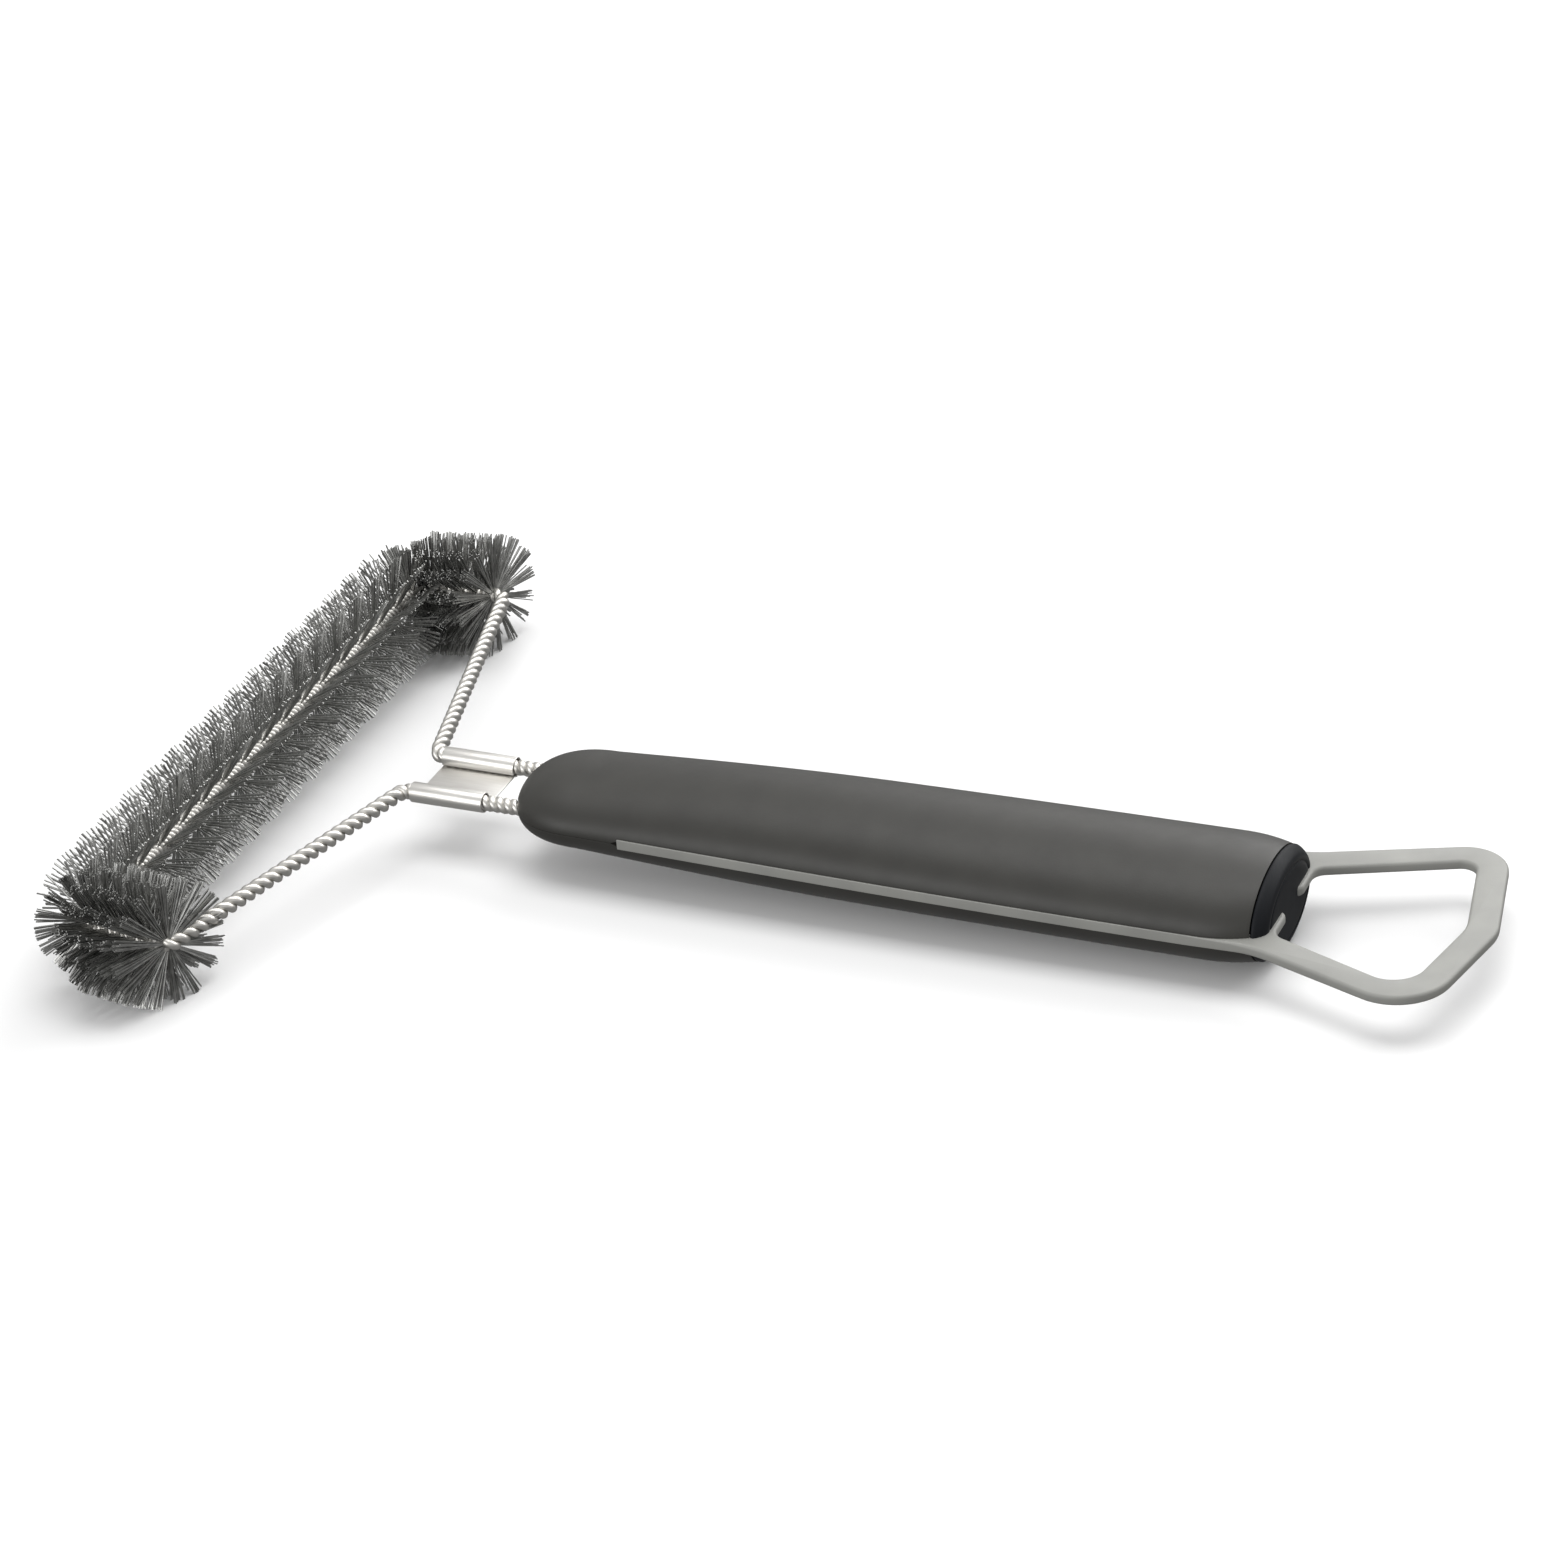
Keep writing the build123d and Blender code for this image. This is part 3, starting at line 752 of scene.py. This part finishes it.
def rolled_clip():
    outline = clip_outline()
    edge_radii = [CLIP_EDGE_RADIUS] * len(outline)
    points, faces = rounded_plate(outline, 0, CLIP_LENGTH, edge_radii, 3)
    turned = [(w, u, v) for u, v, w in points]
    add_piece("rolled_clip", turned, faces, "clip_steel", ["bracket_clip"])


# ---- grip --------------------------------------------------------------------------------------

def eased(x, start, end):
    """Rises from 0 at start to 1 at end, levelling off towards the end."""
    part = min(max((x - start) / (end - start), 0.0), 1.0)
    return math.sin(math.pi / 2 * part)


def rear_loss(x):
    """Share of the rear rounding at x: 0 before it begins and 1 at the shells' rear edge."""
    return max(x - (GRIP_REAR - REAR_ROUNDING), 0.0) ** 2 / REAR_ROUNDING ** 2


def half_width(x):
    body = SLIM_HALF_WIDTH + (FULL_HALF_WIDTH - SLIM_HALF_WIDTH) * eased(x, NOSE_END, FULL_WIDTH_X)
    return body - REAR_WIDTH_LOSS * rear_loss(x)


def half_height(x):
    body = SLIM_HALF_HEIGHT + (FULL_HALF_HEIGHT - SLIM_HALF_HEIGHT) * eased(x, NOSE_END, FULL_HEIGHT_X)
    return body - REAR_HEIGHT_LOSS * rear_loss(x)


def grip_stations():
    """(x, share of the full section) from the tip of the nose to the rear edge."""
    stations = []
    nose_steps = 40
    for index in range(1, nose_steps):
        angle = math.pi / 2 * index / nose_steps
        reach = math.cos(angle) ** (2 / NOSE_POWER)
        stations.append((NOSE_END - NOSE_LENGTH * reach, math.sin(angle) ** (2 / NOSE_POWER)))
    body_steps = 110
    for index in range(body_steps):
        stations.append((NOSE_END + (GRIP_REAR - REAR_ROUNDING - NOSE_END) * index / body_steps, 1.0))
    rear_steps = 16
    for index in range(rear_steps + 1):
        stations.append((GRIP_REAR - REAR_ROUNDING * (1 - index / rear_steps), 1.0))
    return stations


def edge_height(x):
    """Height of a shell's edge over the parting plane: it steps up over the rail's slanted tip."""
    rise = min(max((x - RAIL_FRONT + STEP_LEAD) / STEP_LENGTH, 0.0), 1.0)
    return PARTING_GAP + (INSERT_THICKNESS / 2 + RAIL_GAP - PARTING_GAP) * rise


def shell_sheet(side):
    """The outer face of one shell as a grid of points; side is 1 for the top and -1 underneath."""
    columns = 72
    points = []
    stations = grip_stations()
    for x, share in stations:
        width = half_width(x) * share
        height = half_height(x) * share
        low_angle = math.asin(min(edge_height(x) / height, 0.5))
        for column in range(columns + 1):
            angle = low_angle + (math.pi - 2 * low_angle) * column / columns
            points.append((x, width * math.cos(angle), side * height * math.sin(angle)))
    faces = skin_faces(len(stations), columns + 1, False)
    faces.append(tuple(range(columns + 1)))
    return points, faces


def face_outwards(mesh, side):
    """Turns an open sheet so that its highest face looks outwards; side is -1 underneath."""
    shape = bmesh.new()
    shape.from_mesh(mesh)
    bmesh.ops.recalc_face_normals(shape, faces=shape.faces)
    top_face = max(shape.faces, key=lambda face: face.calc_center_median().z * side)
    if top_face.normal.z * side < 0:
        bmesh.ops.reverse_faces(shape, faces=shape.faces)
    shape.to_mesh(mesh)
    shape.free()


def grip_shell(name, node, side, cutters):
    """One shell: the sheet thickened inwards, its edges rounded, then cut by each cutter."""
    mesh = new_mesh(name, *shell_sheet(side))
    face_outwards(mesh, side)
    body = new_body(name + "_raw", mesh)
    thicken = body.modifiers.new("thicken", "SOLIDIFY")
    thicken.thickness = WALL * MM
    thicken.offset = -1
    soften = body.modifiers.new("soften", "BEVEL")
    soften.width = SHELL_EDGE_RADIUS * MM
    soften.segments = 3
    soften.limit_method = "ANGLE"
    soften.angle_limit = math.radians(50)
    cut_away(body, cutters)
    finish_piece(name, applied(body), "grip_plastic", [node])


def grip():
    """The two shells, with tunnels for the stem's ends and recesses for the screws."""
    length = 30     # of the cutters, more than enough to pass the wall
    tunnels = [cutter(*round_bar(TUNNEL_RADIUS, (GRIP_FRONT - 6, y, 0), (1, 0, 0), length))
               for y in (-STEM_SPACING, STEM_SPACING)]
    recesses = [cutter(*round_bar(RECESS_RADIUS, (x, 0, -length), (0, 0, 1), length))
                for x in SHELL_SCREW_PLACES]
    grip_shell("grip_top", "handle_top_shell", 1, tunnels)
    grip_shell("grip_bottom", "handle_bottom_shell", -1, tunnels + recesses)
    for tool in tunnels + recesses:
        bpy.data.objects.remove(tool)


# ---- rear cap ----------------------------------------------------------------------------------

CAP_PROFILE = [     # distance behind the shells, and how far in from the grip's side and top
    (-6.0, 3.4, 3.4), (-0.1, 3.4, 3.4), (0.15, 0.9, 0.9), (0.2, 0.35, 0.35), (0.32, 0.12, 0.12),
    (0.55, 0.03, 0.03), (0.9, 0.05, 0.05), (1.5, 0.4, 0.3), (2.3, 1.15, 0.75), (2.9, 1.9, 1.2),
    (3.2, 2.5, 1.65), (3.35, 3.2, 2.2), (3.38, 3.8, 2.7), (3.25, 4.0, 2.85), (3.2, 4.2, 3.0),
    (3.25, 4.4, 3.15), (3.38, 4.6, 3.3), (3.42, 5.4, 3.9), (3.45, 8.0, 5.5), (3.47, 12.0, 8.0),
]


def rear_cap():
    width = half_width(GRIP_REAR)
    height = half_height(GRIP_REAR)

    def section(station, angle):
        behind, side_inset, top_inset = station
        return Vector((GRIP_REAR + behind, (width - side_inset) * math.cos(angle),
                       (height - top_inset) * math.sin(angle)))

    points, faces = lathe(CAP_PROFILE, 120, section)
    add_piece("grip_rear_cap", points, faces, "cap_plastic", ["rear_cap"], 50)


# ---- hanging loop ------------------------------------------------------------------------------

def loop_side(inner_radius, outer_radius):
    """Half of the insert's outline, from the loop's inner tip round to its outer tip."""
    inner_x = GRIP_REAR + FINGER_WIDTH
    finger_end_radius = FINGER_WIDTH / 2 - 0.05
    rail = range(60, 191, 10)
    corners = [
        (LOOP_INNER_TIP, LOOP_TIP_RADIUS),
        (LOOP_INNER_CORNER, inner_radius),
        ((inner_x, LOOP_ROOT_Y), LOOP_ROOT_RADIUS),
        ((inner_x, FINGER_END), finger_end_radius),
        ((GRIP_REAR, FINGER_END), finger_end_radius),
        ((GRIP_REAR, half_width(RAIL_END) - RAIL_DEPTH - 1), 0),
        ((RAIL_END, half_width(RAIL_END) - RAIL_DEPTH), 0),
    ]
    corners += [((x, half_width(x) - RAIL_DEPTH), 0) for x in reversed(rail)]
    corners += [((RAIL_FRONT, half_width(RAIL_FRONT) - RAIL_DEPTH), 0),
                ((RAIL_FRONT, half_width(RAIL_FRONT) + RAIL_PROUD), 0)]
    corners += [((x, half_width(x) + RAIL_PROUD), 0) for x in rail]
    corners += [(LOOP_START, LOOP_START_RADIUS),
                (LOOP_OUTER_CORNER, outer_radius),
                (LOOP_OUTER_TIP, LOOP_TIP_RADIUS)]
    return corners


def edge_radius(point):
    """Rounding of the insert's long edges: sharper on the rails than on the loop."""
    share = min(max((point.x - LOOP_ROUNDING_X) / LOOP_ROUNDING_LENGTH, 0.0), 1.0)
    return RAIL_EDGE_RADIUS + (LOOP_EDGE_RADIUS - RAIL_EDGE_RADIUS) * share


def insert_outline():
    inner_tip, *rest, outer_tip = loop_side(*RIGHT_CORNER_RADII)
    left = loop_side(*LEFT_CORNER_RADII)[1:-1]
    mirrored = [((x, -y), radius) for (x, y), radius in reversed(left)]
    corners = [inner_tip] + rest + [outer_tip] + mirrored
    places = [place for place, _ in corners]
    radii = [radius for _, radius in corners]
    return rounded_outline(places, radii, math.radians(4))


def loop_insert():
    outline = insert_outline()
    half = INSERT_THICKNESS / 2
    points, faces = rounded_plate(outline, -half, half, [edge_radius(point) for point in outline])
    add_piece("loop_insert", points, faces, "insert_plastic", ["hang_loop_insert"], 50)


# ---- screws underneath -------------------------------------------------------------------------

SCREW_PROFILE = [   # height over the seat, and radius
    (3.5, 0.5), (3.5, 1.3), (0.0, 1.3), (0.0, 2.55), (-0.15, SCREW_HEAD_RADIUS), (-0.9, 2.68),
    (-1.4, 2.4), (-1.75, 1.7), (-SCREW_HEAD_HEIGHT, 0.6),
]


def screw_body(x):
    """Points and faces of the screw at x, without its cross."""
    def section(station, angle):
        rise, radius = station
        across = radius * math.sin(angle)
        return Vector((x + radius * math.cos(angle), across, SHELL_SCREW_SEAT + rise))

    return lathe(SCREW_PROFILE, 48, section)


def cross_cutters(x):
    """Two bars that cut the cross into a screw's head."""
    bottom = SHELL_SCREW_SEAT - SCREW_HEAD_HEIGHT
    for length, width in ((CROSS_LENGTH, CROSS_WIDTH), (CROSS_WIDTH, CROSS_LENGTH)):
        outline = [Vector((x + u * length / 2, v * width / 2))
                   for u, v in ((-1, -1), (1, -1), (1, 1), (-1, 1))]
        yield cutter(*rounded_plate(outline, bottom - 1, bottom + CROSS_DEPTH, [0.05] * 4, 2))


def shell_screws():
    """Pan-head screws in their recesses, each with a cross recess."""
    points, faces, tools = [], [], []
    for x in SHELL_SCREW_PLACES:
        body_points, body_faces = screw_body(x)
        base = len(points)
        points += body_points
        faces += [tuple(base + corner for corner in face) for face in body_faces]
        tools += cross_cutters(x)
    mesh = new_mesh("screws", points, faces)
    turn_outwards(mesh)
    body = new_body("screws", mesh)
    cut_away(body, tools)
    finish_piece("recessed_screws", applied(body), "screw_steel", ["shell_screws"])
    for tool in tools:
        bpy.data.objects.remove(tool)


# ---- carried-over CAD pieces -------------------------------------------------------------------

def dress_cad_pieces():
    """Gives each CAD node the material of its slot; the hidden ones keep their CAD shapes."""
    for row in frame["record"]["subparts"]:
        node = frame["nodes"][row["node"]]
        node.data.materials.clear()
        node.data.materials.append(MATERIALS[row["material_slot"]])


# ---- stage, lights and camera ------------------------------------------------------------------

FLOOR_REACH = 4.0           # in metres, like all lengths of the stage and the lights
FLOOR_DARK = (0.86, 0.86, 0.86)
FLOOR_LIGHT = (0.89, 0.89, 0.89)
FLOOR_ROUGHNESS = 0.9


def pale_floor():
    material, tree, shader = new_material("pale_floor")
    tint = ramp(tree, noise(tree, scale=3, detail=2), FLOOR_DARK, FLOOR_LIGHT)
    tree.links.new(tint, shader.inputs["Base Color"])
    shader.inputs["Roughness"].default_value = FLOOR_ROUGHNESS
    return material


def stage():
    mesh = bpy.data.meshes.new("floor")
    sides = ((-1, -1), (1, -1), (1, 1), (-1, 1))
    corners = [(x * FLOOR_REACH, y * FLOOR_REACH, 0) for x, y in sides]
    mesh.from_pydata(corners, [], [(0, 1, 2, 3)])
    mesh.materials.append(pale_floor())
    floor = new_body("floor", mesh)
    floor.visible_diffuse = False
    floor.visible_glossy = False


SOFTBOXES = [       # name, place, what it faces, size, and power in watts
    ("top_softbox", (0.0, 0.2, 1.3), (0, 0, 0), (1.4, 0.8), 9),
    ("front_softbox", (-0.6, -1.6, 0.55), (0, 0, 0), (1.8, 0.9), 14),
    ("back_softbox", (0.5, 1.4, 0.9), (0, 0, 0.1), (2.2, 1.0), 22),
]
ROOM_BELOW = (0.42, 0.42, 0.42)     # the room below the horizon, which darkens the undersides
ROOM_ABOVE = (1.0, 1.0, 1.0)
HORIZON = (0.0, 0.02)               # between these heights the room turns from dark to light
ROOM_STRENGTH = 0.62


def softbox(name, place, target, size, power):
    data = bpy.data.lights.new(name, "AREA")
    data.shape = "RECTANGLE"
    data.size, data.size_y = size
    data.energy = power
    lamp = new_body(name, data)
    lamp.location = place
    lamp.rotation_euler = (Vector(target) - Vector(place)).to_track_quat("-Z", "Y").to_euler()


def lights():
    for row in SOFTBOXES:
        softbox(*row)
    world = bpy.data.worlds.new("studio")
    world.use_nodes = True
    tree = world.node_tree
    background = tree.nodes["Background"]
    direction = tree.nodes.new("ShaderNodeTexCoord")
    split = tree.nodes.new("ShaderNodeSeparateXYZ")
    tree.links.new(direction.outputs["Generated"], split.inputs["Vector"])
    shade = ramp(tree, split.outputs["Z"], ROOM_BELOW, ROOM_ABOVE, *HORIZON)
    tree.links.new(shade, background.inputs["Color"])
    background.inputs["Strength"].default_value = ROOM_STRENGTH
    bpy.context.scene.world = world


CAMERA_TURN = 0.449267      # about +Z, from looking along +Y
CAMERA_DROP = 0.515338      # below the horizon
CAMERA_ROLL = -0.0872666
CAMERA_SIDE = 78.777        # mm to the right of the frame's origin
CAMERA_RISE = 0.456
CAMERA_DISTANCE = 1162.63
CAMERA_LENS = 117.76
SENSOR_WIDTH = 36.0


def camera():
    """The camera, posed in the brush's own frame and then placed with it."""
    right = Vector((math.cos(CAMERA_TURN), math.sin(CAMERA_TURN), 0))
    look = Vector((-math.sin(CAMERA_TURN) * math.cos(CAMERA_DROP),
                   math.cos(CAMERA_TURN) * math.cos(CAMERA_DROP),
                   -math.sin(CAMERA_DROP)))
    up = right.cross(look)
    rolled_right = right * math.cos(CAMERA_ROLL) + up * math.sin(CAMERA_ROLL)
    rolled_up = up * math.cos(CAMERA_ROLL) - right * math.sin(CAMERA_ROLL)
    place = rolled_right * CAMERA_SIDE + rolled_up * CAMERA_RISE - look * CAMERA_DISTANCE
    turned = PLACE.to_3x3().normalized()
    axes = [turned @ axis for axis in (rolled_right, rolled_up, -look)]
    data = bpy.data.cameras.new("camera")
    data.sensor_width = SENSOR_WIDTH
    data.lens = CAMERA_LENS
    data.clip_start = 0.05
    data.clip_end = 20
    pose = Matrix(axes).transposed().to_4x4()
    pose.translation = PLACE @ place
    view = new_body("camera", data)
    view.matrix_world = pose
    bpy.context.scene.camera = view


# ---- everything --------------------------------------------------------------------------------

camera()
stage()
lights()
dress_cad_pieces()
stem = stem_route()
twisted_strands(stem)
bristles(stem)
rolled_clip()
grip()
rear_cap()
loop_insert()
shell_screws()
bpy.context.scene.view_settings.view_transform = "Standard"
